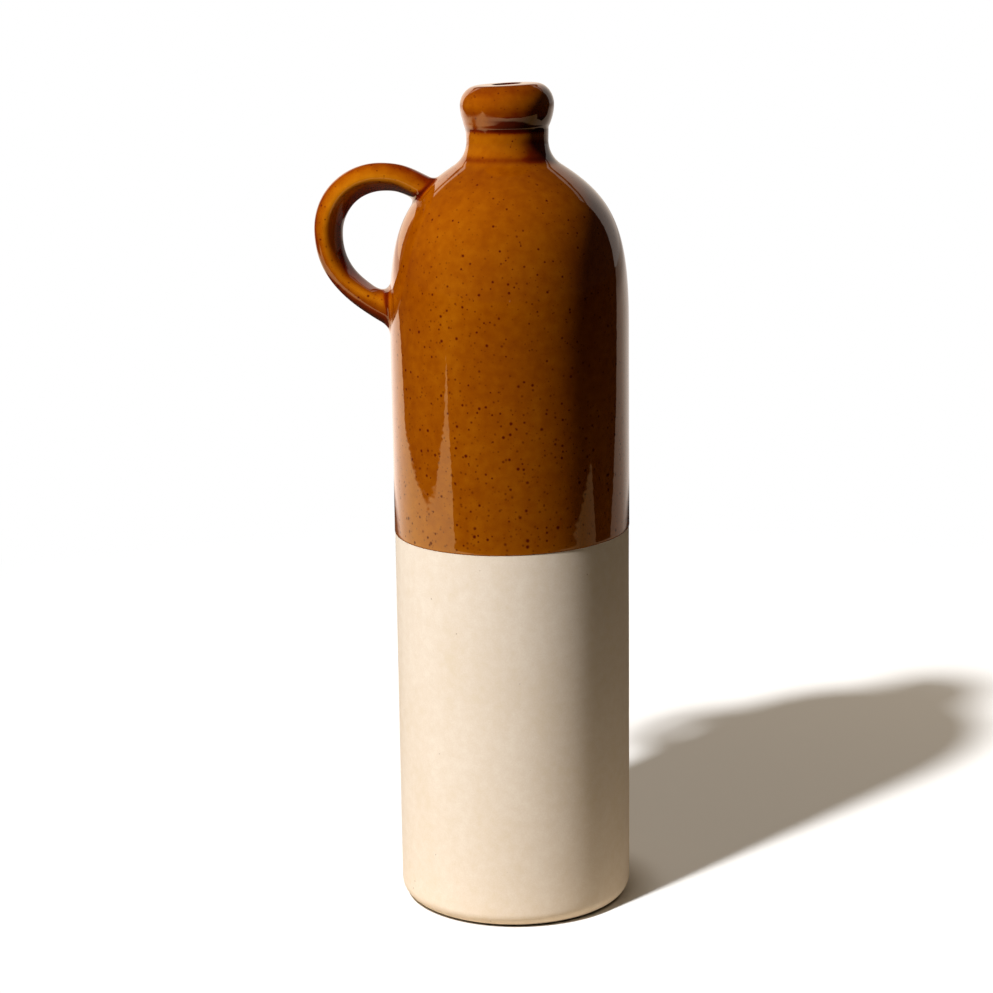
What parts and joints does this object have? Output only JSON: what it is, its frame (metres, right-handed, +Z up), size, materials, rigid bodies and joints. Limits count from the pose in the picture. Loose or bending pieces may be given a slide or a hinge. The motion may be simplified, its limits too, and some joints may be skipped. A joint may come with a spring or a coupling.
{
  "type": "stoneware growler",
  "caption": "Tall round stoneware bottle with a domed shoulder, short neck, rolled lip and finger loop, amber glazed above and bare clay below, for keeping and pouring drinks.",
  "frame": {"origin": "middle of the flat foot, on the axis of the bottle", "axes": "+Z up the axis to the mouth, -X to the finger loop, +Y to the side away from the picture's viewpoint"},
  "size_m": [0.1149, 0.0886, 0.3064],
  "materials": {
    "bare_clay": "unglazed, matt, faintly speckled cream stoneware",
    "amber_glaze": "glossy amber-brown glaze with dark iron specks",
    "liner_glaze": "glossy amber liner glaze"
  },
  "bodies": {
    "root": {"base_disc": "bare_clay", "body_cylinder": "bare_clay", "shoulder_dome": "bare_clay", "neck": "bare_clay", "lip_collar": "bare_clay", "handle_loop": "bare_clay", "handle_upper_joint": "bare_clay", "handle_lower_joint": "bare_clay", "glaze_coat": "amber_glaze", "liner_glaze": "liner_glaze"}
  },
  "joints": []
}
